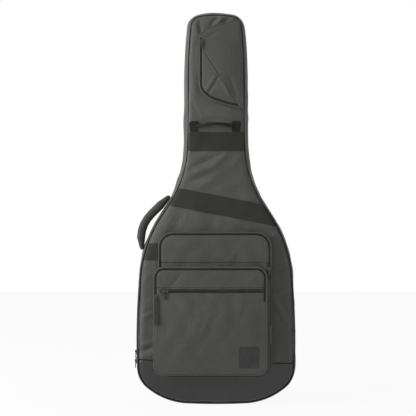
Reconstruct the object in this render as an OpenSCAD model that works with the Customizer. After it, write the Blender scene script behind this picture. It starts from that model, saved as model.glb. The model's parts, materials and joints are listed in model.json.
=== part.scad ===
// Padded gig bag for an electric guitar: a soft case that opens like a book.
// Millimetres. Z runs up the bag, the front faces -Y, the origin is the centre of the flat base,
// and the plane y = 0 is the main zipper's parting line.

/* [Outline] */
// Overall length, from the floor to the crown
bag_l = 1050; // [1020:1:1080]
// Width between the two base corners, before rounding
base_w = 257.6; // [240:0.2:270]
// Rounding of the base corners
base_r = 195; // [170:1:205]
// Width between the two hip corners, before rounding
body_w = 431.4; // [420:0.2:445]
// Height of the hip corners
hip_z = 62; // [56:1:70]
// Rounding of the hip corners
hip_r = 71; // [55:1:74]
// Width between the two shoulder corners, before rounding
shoulder_w = 415.6; // [405:0.2:425]
// Height of the shoulder corners
shoulder_z = 426; // [415:1:432]
// Rounding of the shoulder corners
shoulder_r = 350; // [300:1:370]
// Width between the throat corners, where body and neck meet
neck_w = 177.7; // [170:0.1:190]
// Height of the throat corners
throat_z = 599; // [590:1:612]
// Rounding of the throat corners
throat_r = 310; // [240:1:330]
// Width where the head starts to taper
head_w = 171; // [166:0.5:176]
// Distance from the crown down to where the head starts to taper
head_drop = 118; // [100:1:150]
// Rounding where the head starts to taper
head_r = 600; // [400:10:700]
// Width between the top corners, before rounding
top_w = 151.7; // [146:0.1:158]
// Rounding of the top corners
top_r = 40; // [30:0.5:43]
// Rounding of the crown
crown_r = 260; // [200:5:280]
// Slope of the crown beside its rounding, in degrees
crown_slope = 8; // [5:0.5:10]

/* [Shell] */
// Height of each half's side wall above the parting plane
wall_y = 42; // [36:1:50]
// Thickness of the padded side wall
wall_t = 12; // [10:0.5:14]
// How far the panel seam lies inside the outline on the body
seam_in = 8; // [6:0.5:9]
// How far the panel seam lies inside the outline at the floor, where the base is flat
floor_in = 5; // [4.9:0.1:6]
// Height over which the flat base rounds off
floor_h = 80; // [60:5:100]
// How much further inside the outline the panel seam lies on the neck
neck_in = 4.5; // [3:0.5:6]
// How far the padded panel swells above its seam
panel_t = 8; // [6:0.5:12]
// Width of the panel's rounded edge
pillow_w = 12; // [10:0.5:14]
// Thickness of the foam sheet behind each panel
foam_t = 11; // [8:0.5:14]
// Thickness of the lining sheet
lining_t = 1; // [0.8:0.1:2]
// Gap between the foam and the side wall
foam_gap = 0.3; // [0.2:0.1:1]
// Radius of the piping cord along the seams
piping_r = 2.5; // [2:0.1:3]
// Height of the leatherette boot at its left end
boot_left_z = 119; // [105:1:125]
// Height of the leatherette boot at its right end
boot_right_z = 109; // [100:1:125]
// Height at which each side wall is joined from two lengths
wall_joint_z = 560; // [545:1:575]

/* [Main zipper] */
// Half the width of the closed main zipper, tape edge to parting plane
tape_w = 7; // [6:0.5:9]
// Gap between the two closed rows of teeth
zip_gap = 1.4; // [1.2:0.1:1.8]
// Thickness of the zipper tape
tape_t = 1; // [0.8:0.1:1.2]
// Width of one row of teeth
coil_w = 1.9; // [1.5:0.1:2.2]
// Thickness of the teeth
coil_t = 2.2; // [1.8:0.1:2.4]
// How far the teeth lie inside the outline
coil_in = 1; // [0.8:0.1:1.5]
// Bottom end of the hinge web on the right side
web_z0 = 112; // [105:1:120]
// Top end of the hinge web
web_z1 = 308; // [280:1:315]
// Thickness of the hinge web
web_t = 2; // [1.5:0.1:2.5]
// Gap between the hinge web and each end of the zipper
zip_end_gap = 1; // [0.5:0.1:2]
// Gap between the two halves of the hinge web
web_gap = 0.3; // [0.2:0.1:0.6]
// Height of the upper main slider
upper_slider_z = 135; // [135:1:165]
// Height of the lower main slider
lower_slider_z = 110; // [109:1:112]

/* [Sliders and pullers] */
// Length of a slider
slider_l = 18; // [15:0.5:19]
// Width of a slider's top plate
slider_w = 9.5; // [8:0.5:10.5]
// Thickness of a slider's top plate
slider_t = 2; // [1.5:0.1:2.5]
// Width of the wedge that parts the teeth
wedge_w = 0.8; // [0.6:0.1:1]
// Bore of the bridge that holds the puller
eye_d = 2.6; // [2.4:0.1:3]
// Diameter of a puller's pin
pin_d = 1.6; // [1.2:0.1:1.8]
// Thickness of a puller
puller_t = 1.8; // [1.4:0.1:2]
// Reach of a puller's fork below its pin
fork_l = 6; // [5:0.5:8]
// Length of a main slider's puller
main_puller_l = 14; // [11:0.5:15]
// Length of the strap on the outer pocket's puller
long_strap_l = 44; // [36:1:50]
// Length of that puller's moulded tip
long_tip_l = 25; // [20:1:30]
// Width of that puller
long_puller_w = 11; // [9:0.5:12]

/* [Pockets] */
// Thickness of a pocket's side wall
pocket_wall_t = 3.5; // [3:0.1:4]
// Distance from a pocket's edge to the middle of its zipper
pocket_zip_in = 7.5; // [7:0.1:8]
// Thickness of a pocket's front panel
pocket_skin_t = 3; // [2.9:0.1:3.5]
// Width of the tape sewn to the pocket's flap
flap_tape_w = 3; // [2.6:0.1:4]
// Gap between a pocket's flap and panel at the fold
fold_gap = 0.3; // [0.2:0.1:0.6]
// Left edge of the large pocket
a_x0 = -153.4; // [-158:0.2:-150]
// Right edge of the large pocket
a_x1 = 147; // [143:0.2:150]
// Bottom edge of the large pocket
a_z0 = 76; // [70:1:79]
// Top edge of the large pocket
a_z1 = 460; // [450:1:465]
// Depth of the large pocket
a_depth = 24; // [18:1:30]
// Fold line of the large pocket's flap
a_fold_z = 378; // [374:1:384]
// Height of the large pocket's slider
a_slider_z = 359; // [355:1:361]
// Top corner radius of the large pocket
a_top_r = 40; // [30:1:48]
// Bottom corner radius of the large pocket
a_base_r = 30; // [20:1:40]
// Left edge of the small pocket
b_x0 = -165; // [-168:0.2:-162]
// Right edge of the small pocket
b_x1 = 134.4; // [130:0.2:134.4]
// Bottom edge of the small pocket
b_z0 = 84; // [81:1:90]
// Top edge of the small pocket
b_z1 = 369; // [362:1:371]
// Depth of the small pocket beyond the large one
b_depth = 22; // [16:1:26]
// Fold line of the small pocket's flap
b_fold_z = 314; // [313:0.5:318]
// Height of the small pocket's slider
b_slider_z = 289; // [284:1:292]
// Top corner radius of the small pocket
b_top_r = 28; // [20:1:32]
// Bottom corner radius of the small pocket
b_base_r = 27; // [20:1:32]
// Height of the straight zipper across the small pocket
c_z = 305.5; // [304:0.1:306]
// Left end of the straight zipper
c_x0 = -145; // [-148:1:-140]
// Right end of the straight zipper
c_x1 = 125; // [110:1:125]
// Full width of the straight zipper
c_w = 10; // [8:0.2:10.4]
// Place of the straight zipper's slider along it
c_slider_x = -134; // [-134:1:-120]
// Left edge of the head pocket
h_x0 = -46; // [-50:0.5:-42]
// Depth of the head pocket above the panel
h_depth = 12; // [9:0.5:15]
// Distance from the neck band up to the right end of the head pocket's lower edge
h_band_gap = 59.5; // [50:0.5:70]
// Distance from the crown down to the right end of its upper edge
h_top_gap = 27; // [24:0.5:32]
// Rise of the lower edge from its right end to its middle
h_base_rise = 10; // [6:1:14]
// Rise of the lower edge to its corner
h_base_corner = 26; // [20:1:30]
// Rise of the lower edge to the left side
h_base_side = 51; // [46:1:60]
// Fall of the upper edge from its right end to its middle
h_top_fall = 3; // [2:0.5:6]
// Fall of the upper edge to its corner
h_top_corner = 17; // [12:1:20]
// Fall of the upper edge to the left side
h_top_side = 37; // [32:1:42]
// Distance of the corners from the left side
h_corner_in = 30; // [26:1:34]
// Rounding of the upper corner at the left side
h_side_r = 16; // [12:1:24]
// Rounding of the lower corner at the left side
h_foot_r = 42; // [30:1:50]
// Rounding of the corners between side and edges
h_corner_r = 70; // [50:1:90]
// Rounding of the edges' middles
h_edge_r = 140; // [100:1:200]
// Distance of the edges' middles from the centre line
h_middle_x = 34; // [28:1:40]
// Distance from the crown down to the head pocket's slider
h_slider_drop = 87; // [86:1:100]
// Right end of the head pocket's zipper
h_zip_x1 = 56; // [50:0.5:60]
// Distance from the crown down to the top end of the fold line
h_fold_drop = 101; // [101:1:110]
// Rise of the bottom end of the fold line above the lower edge
h_fold_rise = 15; // [13:1:20]

/* [Webbing and handles] */
// Thickness of sewn webbing
webbing_t = 1.6; // [1.2:0.1:2]
// Bottom edge of the band across the neck
neck_band_z = 675.5; // [670:0.5:680]
// Width of the wide webbing bands
band_w = 50; // [45:0.5:52]
// Middle height of the sloping band, at the centre of the bag
cross_band_z = 531.6; // [528:0.2:536]
// Slope of the sloping band, in degrees
cross_slope = 11; // [8:0.5:12]
// Bottom edge of the patch that holds the side handle's lower end
handle_band_z = 385; // [382:1:392]
// Width of that patch
handle_band_w = 44; // [38:1:46]
// Height of the side handle's upper end
handle_top_z = 555.8; // [550:0.2:558]
// Height of the side handle's bend
handle_knee_z = 473.6; // [468:0.2:480]
// Height of the side handle's lower end
handle_foot_z = 411.5; // [408:0.5:414]
// Clearance of the upper end from the outline, measured across
handle_top_gap = 2.5; // [2.5:0.1:5]
// Clearance of the bend from the outline
handle_knee_gap = 36.5; // [34:0.5:40]
// Clearance of the lower end from the outline
handle_foot_gap = 1.9; // [1.9:0.1:5]
// Radius of the padded side handle
handle_r = 11.5; // [9:0.5:12]
// Depth of the side handle in front of the parting plane
handle_y = 29; // [26:0.5:32]
// Bend radius of the side handle
handle_bend_r = 90; // [70:1:100]
// Height of the grab handle's pivots above the neck band
grab_rise = 15.5; // [15.2:0.1:18]
// Place of the grab handle's middle across the bag
grab_x = -3; // [-5:1:3]
// Distance between the grab handle's pivots
grab_l = 100; // [90:1:106]
// How far the grab handle stands off its sewn ends
grab_out = 14; // [11:0.5:16]
// How far the grab handle's middle arches above its ends
grab_arch = 6; // [3:1:9]
// Thickness of the grab handle's rolled middle
grab_d = 9.5; // [8:0.5:10.5]
// Thickness of the grab handle's sewn ends
grab_tab_t = 3; // [2.5:0.1:4]
// Width of those ends
grab_tab_w = 26; // [22:0.5:26]
// Side of the bare patch on the small pocket
badge_w = 51; // [45:1:53]
// Height of the bare patch
badge_h = 55; // [48:1:57]
// Distance of the patch from the small pocket's right side
badge_side_in = 23.4; // [20:0.2:30]
// Distance of the patch from the small pocket's bottom
badge_base_in = 21; // [18:1:30]
// Length of the folded tab on the large pocket's seam
tab_l = 47; // [40:1:50]
// Distance of the tab from the large pocket's bottom
tab_base_in = 89; // [80:1:100]

/* [Inside and back] */
// Bottom of the neck cradle
cradle_z = 690; // [680:1:700]
// Height of the neck cradle along the bag
cradle_h = 60; // [50:1:70]
// Radius of the cradle's channel
channel_r = 34; // [32:0.5:35]
// Height of the bumper at the foot of the inside
bumper_z = 46; // [40:1:50]
// Depth of the neck cradle and the bumper
block_y = 26; // [22:0.5:27]
// Width of a shoulder strap's pad
strap_w = 64; // [56:1:66]
// Thickness of a shoulder strap's pad
strap_t = 12; // [9:0.5:14]
// How far the shoulder straps bow off the back
strap_bow = 32; // [24:1:36]
// Height of a shoulder strap's lower end
strap_foot_z = 250; // [235:1:270]
// Distance of that end from the bag's side
strap_foot_in = 115; // [108:1:122]
// Width of the adjusting webbing
strap_web_w = 25; // [22:1:28]
// Height of the adjusting webbing's sewn end
web_foot_z = 92; // [80:1:100]
// Distance of that end from the bag's side
web_foot_in = 79; // [74:1:90]
// Length of that end that lies flat on the boot
web_flat_l = 26; // [20:1:32]
// Height of the yoke that holds both straps
yoke_z = 572; // [570:1:580]
// Width of the yoke
yoke_w = 128; // [120:1:134]

/* [Quality] */
// Largest turn of an outline arc between two points, in degrees
arc_step = 7; // [5:0.5:9]

/* [Hidden] */
$fn = 48;

panel_y = wall_y + panel_t;
a_y = panel_y + a_depth;
b_y = a_y + b_depth;
h_y = panel_y + h_depth;
lining_y = wall_y - foam_t - lining_t;
head_z = bag_l - head_drop;
crown_z = bag_l + crown_r * (1 / cos(crown_slope) - 1);
top_z = crown_z - top_w / 2 * tan(crown_slope);
side_lean = atan2((body_w - shoulder_w) / 2, shoulder_z - hip_z);
foam_in = wall_t + foam_gap;
ladder_w = strap_web_w + 9;
ladder_h = 26;
badge_t = 1.2;
tab_t = 1;
// Depth of the zippers' tape and teeth below a pocket's face
tape_y = 1.1;
teeth_y = 0.6;
far = 2000;

// ---- Outline: straight lines joined by arcs, as [x, z, outward x, outward z] ----

function heading(a, b) = atan2(b[1] - a[1], b[0] - a[0]);
function wrap(t) = t > 180 ? t - 360 : t <= -180 ? t + 360 : t;
function outward(h) = [sin(h), -cos(h)];

function corner(a, p, b, r) =
    let (h0 = heading(a, p),
         t = wrap(heading(p, b) - h0),
         s = sign(t),
         start = p - r * tan(abs(t) / 2) * [cos(h0), sin(h0)],
         centre = start - s * r * outward(h0),
         n = max(1, ceil(abs(t) / arc_step)))
    [for (i = [0:n]) let (n1 = outward(h0 + t * i / n)) concat(centre + s * r * n1, n1)];

function xy(p) = [p[0], p[1]];

// A corner's arc takes this much of each side beside it
function arc_reach(a, p, b, r) = r * tan(abs(wrap(heading(p, b) - heading(a, p))) / 2);

// Rounds every corner, with its radius reduced where a side is too short for both its arcs
function rounded(c) =
    let (n = len(c),
         side = [for (i = [0:n - 1]) norm(xy(c[(i + 1) % n]) - xy(c[i]))],
         reach = [for (i = [0:n - 1])
             arc_reach(xy(c[(i + n - 1) % n]), xy(c[i]), xy(c[(i + 1) % n]), c[i][2])],
         fit = [for (i = [0:n - 1]) min(1, 0.99 * side[i] / (reach[i] + reach[(i + 1) % n]))])
    [for (i = [0:n - 1])
        each corner(xy(c[(i + n - 1) % n]), xy(c[i]), xy(c[(i + 1) % n]),
            c[i][2] * min(fit[i], fit[(i + n - 1) % n]))];

right_corners = [
    [base_w / 2, 0, base_r], [body_w / 2, hip_z, hip_r], [shoulder_w / 2, shoulder_z, shoulder_r],
    [neck_w / 2, throat_z, throat_r], [head_w / 2, head_z, head_r], [top_w / 2, top_z, top_r]];
left_corners = [for (i = [len(right_corners) - 1:-1:0])
    [-right_corners[i][0], right_corners[i][1], right_corners[i][2]]];
rim = rounded(concat(right_corners, [[0, crown_z, crown_r]], left_corners));

function box_corners(x0, x1, z0, z1, base, top) =
    [[x0, z0, base], [x1, z0, base], [x1, z1, top], [x0, z1, top]];

a_rim = rounded(box_corners(a_x0, a_x1, a_z0, a_z1, a_base_r, a_top_r));
b_rim = rounded(box_corners(b_x0, b_x1, b_z0, b_z1, b_base_r, b_top_r));
grab_z = neck_band_z + band_w + grab_rise;
h_z0 = neck_band_z + band_w + h_band_gap;
h_z1 = bag_l - h_top_gap;
h_rim = rounded([[h_x0, h_z1 - h_top_side, h_side_r], [h_x0, h_z0 + h_base_side, h_foot_r],
    [h_x0 + h_corner_in, h_z0 + h_base_corner, h_corner_r], [h_middle_x, h_z0 + h_base_rise, h_edge_r],
    [head_w / 2, h_z0, 1], [head_w / 2, h_z1, 1], [h_middle_x, h_z1 - h_top_fall, h_edge_r],
    [h_x0 + h_corner_in, h_z1 - h_top_corner, h_corner_r]]);
h_slider_z = bag_l - h_slider_drop;

// How much further in the seams lie on the neck than on the body
function ease(t) = let (c = min(1, max(0, t))) c * c * (3 - 2 * c);
function drift(z) = neck_in * ease((z - shoulder_z - 70) / (throat_z - shoulder_z));

// How much of the base's flatness is left at a height
function footing(z) = 1 - ease(z / floor_h);

function inset(outline, d, share = 0, flat = 0) = [for (p = outline)
    let (k = d + share * drift(p[1]) - flat * footing(p[1]))
    [p[0] - k * p[2], p[1] - k * p[3]]];
function ring(d, y, share = 0, flat = 0) =
    [for (p = inset(rim, d, share, flat)) [p[0], y, p[1]]];

// ---- Solids through rings and along paths ----

// Triangles that close a ring whose point j faces point n - 1 - j across the shape
function cap(n) = [for (j = [0:floor((n - 1) / 2) - 1]) let (k = n - 1 - j)
    each (j + 1 == k - 1 ? [[j, j + 1, k]] : [[j, j + 1, k - 1], [j, k - 1, k]])];

// Six times the volume that the triangles enclose, positive where they turn outwards
function enclosed(points, faces) =
    [for (f = faces) cross(points[f[0]], points[f[1]]) * points[f[2]]] * [for (f = faces) 1];

module loft(rings, closed = false) {
    n = len(rings[0]);
    m = len(rings);
    points = [for (r = rings) each r];
    sides = [for (i = [0:m - (closed ? 1 : 2)], j = [0:n - 1])
        let (a = i * n, b = (i + 1) % m * n, k = (j + 1) % n)
        each [[a + j, b + j, b + k], [a + j, b + k, a + k]]];
    last = (m - 1) * n;
    ends = [for (t = cap(n)) each [t, [last + t[2], last + t[1], last + t[0]]]];
    faces = closed ? sides : concat(sides, ends);
    polyhedron(points, enclosed(points, faces) < 0 ? faces : [for (f = faces) [f[2], f[1], f[0]]],
        convexity = 6);
}

function at(path, s, i = 0) =
    let (step = path[i + 1] - path[i], d = norm(step))
    s <= d || i == len(path) - 2 ? path[i] + step * s / d : at(path, s - d, i + 1);
function path_length(path) = [for (i = 0, l = 0; i < len(path);
    l = l + (i < len(path) - 1 ? norm(path[i + 1] - path[i]) : 0), i = i + 1) l][len(path) - 1];
function unit(v) = v / norm(v);

flat_section = [[1, 1], [-1, 1], [-1, -1], [1, -1]];
pad_section = [[1, 0.35], [0.86, 1], [-0.86, 1], [-1, 0.35],
    [-1, -0.35], [-0.86, -1], [0.86, -1], [1, -0.35]];
round_section = [for (a = [0:36:324]) [cos(a), sin(a)]];

// stations are [distance along the path, width, thickness]
module sweep(path, section, stations) {
    loft([for (q = stations)
        let (c = at(path, q[0]),
             t = unit(at(path, q[0] + 1) - at(path, q[0] - 1)),
             side = unit(cross(t, [0, 1, 0])),
             up = cross(side, t))
        [for (p = section) c + side * p[0] * q[1] / 2 + up * p[1] * q[2] / 2]]);
}

// A 2D shape drawn in X and Z, filling the depth from y0 to y1
module slab(y0, y1) {
    translate([0, y1, 0])
        rotate([90, 0, 0])
            linear_extrude(y1 - y0)
                children();
}

module front() {
    mirror([0, 1, 0])
        children();
}

module area(outline, d, share = 0) {
    polygon(inset(outline, d, share));
}

module band(outline, d0, d1, share = 0) {
    difference() {
        area(outline, d0, share);
        area(outline, d1, share);
    }
}

module above(z) {
    translate([-far / 2, z])
        square([far, far]);
}

module below(z) {
    translate([-far / 2, z - far])
        square([far, far]);
}

// ---- Shell pieces, drawn for the back half and mirrored for the front ----

module skin(lift = 0) {
    loft([for (a = [0:30:90])
        let (s = pillow_w * (1 - cos(a)))
        ring(seam_in + s - lift * cos(a), wall_y + (panel_t + lift) * sin(a),
            1 - s / neck_in / 2, seam_in - floor_in)]);
}

module boot_area() {
    polygon([[-far, boot_left_z], [-body_w / 2, boot_left_z], [body_w / 2, boot_right_z],
        [far, boot_right_z], [far, -far], [-far, -far]]);
}

module panel() {
    difference() {
        skin();
        slab(0, far)
            boot_area();
    }
}

module boot() {
    intersection() {
        skin();
        slab(0, far)
            boot_area();
    }
}

module padding() {
    slab(wall_y - foam_t, wall_y)
        area(rim, foam_in, 1);
}

module lining() {
    slab(lining_y, wall_y - foam_t)
        area(rim, foam_in, 1);
}

module gusset() {
    outer = [for (s = [0, 0.45, 0.75, 1])
        let (bulge = seam_in * pow(s, 3))
        ring(bulge, tape_w + (wall_y - tape_w) * s, pow(s, 3),
            s < 1 ? bulge : seam_in - floor_in)];
    loft(concat(outer, [ring(wall_t, wall_y, 1), ring(wall_t, tape_w)]), closed = true);
}

module gusset_lower() {
    intersection() {
        gusset();
        slab(0, far)
            below(wall_joint_z);
    }
}

module gusset_upper() {
    intersection() {
        gusset();
        slab(0, far)
            above(wall_joint_z);
    }
}

// The cord rests on the seam, along the mean of the two faces that meet there
module piping() {
    reach = piping_r + 0.15;
    loft([for (a = [0:72:288])
        ring(seam_in - reach * cos(25) + piping_r * cos(a),
            wall_y + reach * sin(25) + piping_r * sin(a), 1, seam_in - floor_in)],
        closed = true);
}

// The hinge web's stretch of the right side, with a margin at each end
module web_area(margin = 0) {
    translate([body_w / 4, web_z0 - margin])
        square([body_w / 2, web_z1 - web_z0 + 2 * margin]);
}

module main_zip() {
    difference() {
        union() {
            slab(zip_gap / 2, tape_w)
                band(rim, coil_in + 0.5, coil_in + 0.5 + tape_t);
            slab(zip_gap / 2, zip_gap / 2 + coil_w)
                band(rim, coil_in, coil_in + coil_t);
        }
        slab(-far / 2, far / 2)
            web_area(zip_end_gap);
    }
}

module hinge_web() {
    slab(web_gap / 2, tape_w)
        intersection() {
            band(rim, 0, web_t);
            web_area();
        }
}

// Webbing or cloth sewn over the panel's rounded face
module sewn_on(lift = webbing_t) {
    intersection() {
        difference() {
            skin(lift);
            skin();
        }
        slab(0, far)
            intersection() {
                children();
                area(rim, seam_in + 1.6, 1);
            }
    }
}

module back_panel() { color("#3a3a38") panel(); }
module back_boot() { color("#1d1d1d") boot(); }
module back_padding() { color("#55554f") padding(); }
module back_lining() { color("#2a2a2c") lining(); }
module back_gusset_lower() { color("#40403e") gusset_lower(); }
module back_gusset_upper() { color("#40403e") gusset_upper(); }
module back_piping() { color("#1c1c1b") piping(); }
module main_zip_back() { color("#181818") main_zip(); }
module hinge_web_back() { color("#2c2c2b") hinge_web(); }

module front_panel() { color("#4a4a47") front() panel(); }
module front_boot() { color("#1d1d1d") front() boot(); }
module front_padding() { color("#55554f") front() padding(); }
module front_lining() { color("#2a2a2c") front() lining(); }
module front_gusset_lower() { color("#444442") front() gusset_lower(); }
module front_gusset_upper() { color("#444442") front() gusset_upper(); }
module front_piping() { color("#1c1c1b") front() piping(); }
module main_zip_front() { color("#181818") front() main_zip(); }
module hinge_web_front() { color("#2c2c2b") front() hinge_web(); }

// ---- Inside ----

module neck_cradle() {
    color("#303032")
        difference() {
            slab(lining_y - block_y, lining_y)
                intersection() {
                    area(rim, foam_in + 0.3, 1);
                    translate([-neck_w / 2, cradle_z])
                        square([neck_w, cradle_h]);
                }
            translate([0, lining_y - 2 - channel_r, cradle_z - 1])
                cylinder(h = cradle_h + 2, r = channel_r);
        }
}

module end_bumper() {
    color("#303032")
        slab(lining_y - block_y, lining_y)
            intersection() {
                area(rim, foam_in + 0.3);
                below(bumper_z);
            }
}

// ---- Shoulder straps, on the back ----

module strap_yoke() {
    color("#262626")
        sewn_on()
            translate([-yoke_w / 2, yoke_z])
                square([yoke_w, band_w]);
}

strap_y0 = panel_y + webbing_t + strap_t / 2 + 0.2;
strap_top = [strap_w / 2 + 6, yoke_z + band_w - 6];
strap_foot = [body_w / 2 - strap_foot_in, strap_foot_z];

// The pad leaves the yoke flat, bows off the back in one long wave and runs outwards below
strap_path = [for (t = [0:0.1:1])
    let (across = pow(t, 1.7), wave = (1 - cos(324 * pow(t, 1.15))) / 2)
    [strap_top[0] + (strap_foot[0] - strap_top[0]) * across,
        strap_y0 + strap_bow * wave,
        strap_top[1] + (strap_foot[1] - strap_top[1]) * t]];
strap_end = strap_path[len(strap_path) - 1];
web_y = panel_y + webbing_t / 2 + 0.1;
web_foot = [body_w / 2 - web_foot_in, web_y, web_foot_z];
web_landing = web_foot + [-web_flat_l / 6, 0, web_flat_l];
web_path = [strap_end + [0.4, -0.4, -1.4], strap_end * 0.45 + web_landing * 0.55 + [0, 1, 0],
    web_landing + [-3, 0.8, 22], web_landing, web_foot];

module on_side(side) {
    mirror([side < 0 ? 1 : 0, 0, 0])
        children();
}

module strap_pad(side) {
    l = path_length(strap_path);
    color("#3c3c3a")
        on_side(side)
            sweep(strap_path, pad_section, [[0, strap_w * 0.86, strap_t * 0.7],
                [8, strap_w, strap_t], [34, strap_w, strap_t], [l * 0.38, strap_w, strap_t],
                [l * 0.56, strap_w, strap_t], [l * 0.74, strap_w * 0.96, strap_t],
                [l * 0.9, strap_w * 0.8, strap_t * 0.9], [l, strap_w * 0.5, strap_t * 0.5]]);
}

module strap_web(side) {
    l = path_length(web_path);
    color("#202020")
        on_side(side)
            sweep(web_path, flat_section, [for (s = [0, l * 0.3, l * 0.68, l * 0.84, l])
                [s, strap_web_w, webbing_t]]);
}

// A ladder lock: two slots between three bars, and a lifting lip
module strap_buckle(side) {
    s = path_length(web_path) * 0.16;
    u = unit(at(web_path, s - 1) - at(web_path, s + 1));
    color("#141414")
        on_side(side)
            translate(at(web_path, s))
                rotate([-asin(u[1]), atan2(u[0], u[2]), 0])
                    translate([0, webbing_t / 2 + 0.3, 0]) {
                        slab(0, 3.6)
                            difference() {
                                translate([-ladder_w / 2, -ladder_h / 2])
                                    square([ladder_w, ladder_h]);
                                for (z = [-8.6, 2.4])
                                    translate([-strap_web_w / 2 - 0.8, z])
                                        square([strap_web_w + 1.6, 6.2]);
                            }
                        translate([-ladder_w / 2, 2.4, -ladder_h / 2 - 4])
                            cube([ladder_w, 1.2, 4.5]);
                    }
}

module strap_pad_left() { strap_pad(-1); }
module strap_pad_right() { strap_pad(1); }
module strap_web_left() { strap_web(-1); }
module strap_web_right() { strap_web(1); }
module strap_buckle_left() { strap_buckle(-1); }
module strap_buckle_right() { strap_buckle(1); }

// ---- Webbing and handles, on the front ----

module neck_band() {
    color("#353532")
        front()
            sewn_on()
                translate([-neck_w / 2, neck_band_z])
                    square([neck_w, band_w]);
}

module cross_band() {
    color("#353532")
        front()
            sewn_on()
                translate([0, cross_band_z])
                    rotate(-cross_slope)
                        translate([-body_w / 2, -band_w / 2])
                            square([body_w, band_w]);
}

module handle_band() {
    color("#353532")
        front()
            sewn_on()
                translate([-body_w / 2, handle_band_z])
                    square([body_w / 2 + a_x0 - 1, handle_band_w]);
}

// Half the bag's width at a height
function half_width(z) = [for (i = [0:len(rim) - 2])
    let (p = rim[i], q = rim[i + 1])
    if (p[0] > 0 && p[1] <= z && z < q[1]) p[0] + (q[0] - p[0]) * (z - p[1]) / (q[1] - p[1])][0];

// The handle's two ends stand just off the side wall
function beside(z, gap) = [-half_width(z) - gap, -handle_y, z];
handle_top = beside(handle_top_z, handle_top_gap);
handle_knee = beside(handle_knee_z, handle_knee_gap);
handle_foot = beside(handle_foot_z, handle_foot_gap);

module side_handle() {
    bend = corner([handle_top[0], handle_top[2]], [handle_knee[0], handle_knee[2]],
        [handle_foot[0], handle_foot[2]], handle_bend_r);
    path = concat([handle_top], [for (p = bend) [p[0], -handle_y, p[1]]], [handle_foot]);
    l = path_length(path);
    tip = 11;
    full = 34;
    color("#1f1f1f")
        sweep(path, round_section, [for (q = [[0, 5], [3, tip], [10, tip + 3], [full, handle_r * 2],
            [l * 0.3, handle_r * 2], [l * 0.4, handle_r * 2], [l * 0.5, handle_r * 2],
            [l * 0.6, handle_r * 2], [l * 0.7, handle_r * 2], [l - full, handle_r * 2],
            [l - 10, tip + 3], [l - 3, tip], [l, 5]])
            [q[0], q[1], q[1]]]);
}

module grab_tabs() {
    color("#161616")
        for (side = [-1, 1])
            translate([side * (grab_l / 2 + grab_tab_w / 4) + grab_x, 0, grab_z])
                slab(-panel_y - grab_tab_t, -panel_y)
                    polygon(grab_tab_w * [[-0.42, -0.53], [0.34, -0.57], [0.5, 0.38],
                        [0.3, 0.54], [-0.35, 0.5], [-0.5, 0.3]]);
}

grab_y = panel_y + grab_tab_t + 2.6;
grab_path = [for (t = [0:0.125:1])
    [grab_x + grab_l * (t - 0.5), -grab_y - grab_out * sin(180 * t),
        grab_z + grab_arch * sin(180 * t)]];

module grab_handle() {
    l = path_length(grab_path);
    color("#141414")
        sweep(grab_path, round_section, [[0, 3, 3], [2, 6, 6], [l * 0.14, 11, 7],
            [l * 0.3, grab_d, grab_d], [l * 0.5, grab_d, grab_d], [l * 0.7, grab_d, grab_d],
            [l * 0.86, 11, 7], [l - 2, 6, 6], [l, 3, 3]]);
}

// ---- Pockets: a wall, a zipper along its edge, a fixed panel and a folding flap ----

module pocket_zone(kind) {
    if (kind == "a") above(a_slider_z - slider_l / 2 - 2);
    if (kind == "b") above(b_slider_z - slider_l / 2 - 2);
    if (kind == "head")
        translate([h_zip_x1 - far, h_slider_z + slider_l / 2 + 2 - far])
            square([far, far]);
}

head_fold = [[h_x0 + pocket_zip_in, bag_l - h_fold_drop], [h_zip_x1, h_z0 + h_fold_rise]];

module flap_side(kind, gap = 0) {
    if (kind == "a") above(a_fold_z + gap);
    if (kind == "b") above(b_fold_z + gap);
    if (kind == "head")
        translate(head_fold[0])
            rotate(heading(head_fold[0], head_fold[1]))
                translate([-far / 2, -far - gap])
                    square([far, far]);
}

module pocket_area(kind, d) {
    if (kind == "a") area(a_rim, d);
    if (kind == "b") area(b_rim, d);
    if (kind == "head")
        intersection() {
            area(h_rim, d);
            area(rim, seam_in + 1.5 + d, 1);
        }
}

module pocket_ring(kind, d0, d1) {
    difference() {
        pocket_area(kind, d0);
        pocket_area(kind, d1);
    }
}

// Tape and teeth on the wall's side of the gap
module pocket_zip(kind, y) {
    slab(-y + tape_y, -y + tape_y + tape_t)
        intersection() {
            pocket_ring(kind, pocket_wall_t, pocket_zip_in - zip_gap / 2);
            pocket_zone(kind);
        }
    slab(-y + teeth_y, -y + teeth_y + coil_t)
        intersection() {
            pocket_ring(kind, pocket_zip_in - zip_gap / 2 - coil_w, pocket_zip_in - zip_gap / 2);
            pocket_zone(kind);
        }
}

flap_zip_in = pocket_zip_in + zip_gap / 2;

module pocket_panel(kind, y) {
    slab(-y, -y + pocket_skin_t)
        difference() {
            union() {
                difference() {
                    pocket_area(kind, pocket_wall_t);
                    pocket_zone(kind);
                }
                pocket_area(kind, flap_zip_in + flap_tape_w);
            }
            flap_side(kind);
        }
    slab(-y + tape_y, -y + tape_y + tape_t)
        intersection() {
            pocket_ring(kind, flap_zip_in, flap_zip_in + flap_tape_w);
            pocket_zone(kind);
            difference() {
                square(2 * far, center = true);
                flap_side(kind);
            }
        }
}

module pocket_flap(kind, y) {
    slab(-y, -y + pocket_skin_t)
        intersection() {
            pocket_area(kind, flap_zip_in + flap_tape_w);
            flap_side(kind, fold_gap);
        }
    slab(-y + tape_y, -y + tape_y + tape_t)
        intersection() {
            pocket_ring(kind, flap_zip_in, flap_zip_in + flap_tape_w);
            flap_side(kind, fold_gap);
        }
    slab(-y + teeth_y, -y + teeth_y + coil_t)
        intersection() {
            pocket_ring(kind, flap_zip_in, flap_zip_in + coil_w);
            flap_side(kind, fold_gap);
        }
}

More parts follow.
